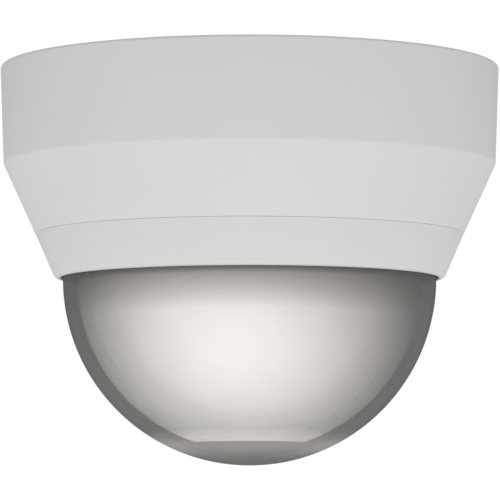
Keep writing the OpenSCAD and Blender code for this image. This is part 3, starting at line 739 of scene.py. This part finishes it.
add_posts(ring_bm, POST_ANGLES, POST_AT_R, POST_R, TONGUE_H, SEAM_H + POST_SINK)
add_posts(ring_bm, BOSS_ANGLES, LEDGE_R, BOSS_R, BOSS_TOP, BOSS_LOW)
trim = finish_piece("trim_skin", ring_bm, "cover", looks["white_cover"], 40)
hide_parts("trim_ring")
print("trim ring:", len(trim.data.polygons), "faces")

# %% [markdown]
# ## The bubble
# Half a ball with a real wall thickness, a short neck and a flange, all in one profile. Its
# two faces each tint the light once.

# %% Bubble
DOME_R = 54.2
DOME_IN = DOME_R - 2
DOME_H = depth_of("dome_bubble", LOW) - DOME_R
FLANGE_R = radius_of("dome_bubble")
FLANGE_TOP = depth_of("dome_bubble", HIGH)
NECK_H = 55.4
bubble_points = arc(0, -DOME_H, DOME_R, -90, 0, 64)
bubble_points += [(DOME_R, -NECK_H), (FLANGE_R - 0.1, -NECK_H + 0.2),
                  (FLANGE_R, -FLANGE_TOP - 0.1), (FLANGE_R - 0.2, -FLANGE_TOP),
                  (DOME_IN, -FLANGE_TOP)]
bubble_points += arc(0, -DOME_H, DOME_IN, 0, -90, 64)
bubble = finish_piece("bubble_skin", lathe(bubble_points, 256), "cover",
                      looks["smoke_dome"], 50)
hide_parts("dome_bubble")
bubble.data.materials.append(inner_face)
centre = Vector((0, 0, -DOME_H * MM))
middle_r = (DOME_R + DOME_IN) / 2 * MM
for polygon in bubble.data.polygons:
    at = polygon.center - centre
    reach = at.length if at.z < 0 else math.hypot(at.x, at.y)
    polygon.material_index = 1 if reach < middle_r else 0
print("bubble:", len(bubble.data.polygons), "faces")

# %% [markdown]
# ## Floor and light
# Floor and world look nearly white to the camera and are dimmer to the surfaces, so that the
# form keeps its shading. Both are a little brighter in front, where a photographer's
# reflector would stand.

# %% Light levels
WORLD_UP = 0.43
WORLD_DOWN = 0.86
FRONT_BIAS = 0.27


def front_share(g, direction_y):
    return g.math("MULTIPLY_ADD", direction_y, -FRONT_BIAS, 1.0)


print("light from above and below:", WORLD_UP, WORLD_DOWN)

# %% [markdown]
# The object hangs well above the floor, which is so large that its edge stays out of sight.
# An emission stands for paper lit from all sides. The Light Path node gives the camera the
# white and the surfaces the dimmer level.

# %% Floor
FLOOR_H = -2.4
FLOOR_SIZE = 60
floor_mesh = bpy.data.meshes.new("floor")
bm = bmesh.new()
bmesh.ops.create_grid(bm, x_segments=1, y_segments=1, size=FLOOR_SIZE,
                      matrix=Matrix.Translation((0, 0, FLOOR_H)))
bm.to_mesh(floor_mesh)
bm.free()
floor = bpy.data.objects.new("floor", floor_mesh)
bpy.context.scene.collection.objects.link(floor)
material, g, out = new_material("floor")
place = g.node("ShaderNodeTexCoord").outputs["Object"]
speck = g.node("ShaderNodeTexNoise",
               {"Vector": place, "Scale": 6.0, "Detail": 4.0}).outputs["Fac"]
direction = g.node("ShaderNodeVectorMath", {0: place}, operation="NORMALIZE").outputs[0]
towards_y = g.node("ShaderNodeSeparateXYZ", {0: direction}).outputs["Y"]
seen = g.node("ShaderNodeLightPath").outputs["Is Camera Ray"]
given = g.math("MULTIPLY", front_share(g, towards_y), WORLD_DOWN)
shown = g.math("MULTIPLY", g.math("SUBTRACT", 1.0, given), seen)
paint = g.node("ShaderNodeEmission", {"Color": g.ramp(speck, [(0.3, 0.96), (0.7, 0.99)]),
                                      "Strength": g.math("ADD", given, shown)})
g.tree.links.new(paint.outputs[0], out.inputs["Surface"])
floor_mesh.materials.append(material)
print("floor:", 2 * FLOOR_SIZE, "m wide,", -FLOOR_H, "m down")

# %% [markdown]
# Light mostly comes back up from the pale floor, so the world is brighter below than above,
# and a little brighter in front. The camera sees it as plain white whatever the light does.

# %% World
world = bpy.data.worlds.new("studio")
bpy.context.scene.world = world
world.use_nodes = True
world.node_tree.nodes.clear()
g = Graph(world.node_tree)
out = g.node("ShaderNodeOutputWorld")
towards_sky = g.node("ShaderNodeSeparateXYZ",
                     {0: g.node("ShaderNodeTexCoord").outputs["Generated"]})
lift = g.math("MULTIPLY_ADD", towards_sky.outputs["Z"], 1.6, 0.5, clamp=True)
level = g.math("MULTIPLY_ADD", lift, WORLD_UP - WORLD_DOWN, WORLD_DOWN)
bias = front_share(g, towards_sky.outputs["Y"])
dim = g.node("ShaderNodeBackground", {"Color": (1, 1, 1, 1),
                                      "Strength": g.math("MULTIPLY", level, bias)})
bright = g.node("ShaderNodeBackground", {"Color": (1, 1, 1, 1), "Strength": 1.0})
seen = g.node("ShaderNodeLightPath").outputs["Is Camera Ray"]
both = g.node("ShaderNodeMixShader", {0: seen, 1: dim.outputs[0], 2: bright.outputs[0]})
g.tree.links.new(both.outputs[0], out.inputs["Surface"])
print("world:", len(g.tree.nodes), "nodes")

# %% [markdown]
# One lamp is enough besides the world: a soft one, low in front, that lights the liner and
# the head. This is not how a real lamp behaves. Light linking keeps it off the housing and
# the bubble, and lets it pass through both unshaded. It is hidden from reflections, so no hot
# spot sits on the bubble. With the cover off it is too strong, and the liner burns out.

# %% Lamp
LAMP_AT = Vector((-0.31, -0.69, -1.24))
LAMP_AIM = Vector((0, 0, -0.075))
LAMP_POWER = 39.0
LAMP_SIZE = 0.4
LIT_WORDS = ("liner", "head", "lens", "yoke", "tilt", "turntable")
lamp_data = bpy.data.lights.new("glow", "AREA")
lamp_data.energy = LAMP_POWER
lamp_data.shape = "DISK"
lamp_data.size = LAMP_SIZE
glow = bpy.data.objects.new("glow", lamp_data)
bpy.context.scene.collection.objects.link(glow)
glow.visible_glossy = False
glow.location = LAMP_AT
glow.rotation_euler = (LAMP_AIM - LAMP_AT).to_track_quat("-Z", "Y").to_euler()
lit = bpy.data.collections.new("lit_through_smoke")
for name, obj in nodes.items():
    if any(word in name for word in LIT_WORDS):
        lit.objects.link(obj)
glow.light_linking.receiver_collection = lit
glow.light_linking.blocker_collection = lit

# %% [markdown]
# The picture is shown as it is measured, with no film curve, so that a white background
# stays white.

# %% View settings and size
bpy.context.scene.view_settings.view_transform = "Standard"
bpy.context.scene.view_settings.look = "None"
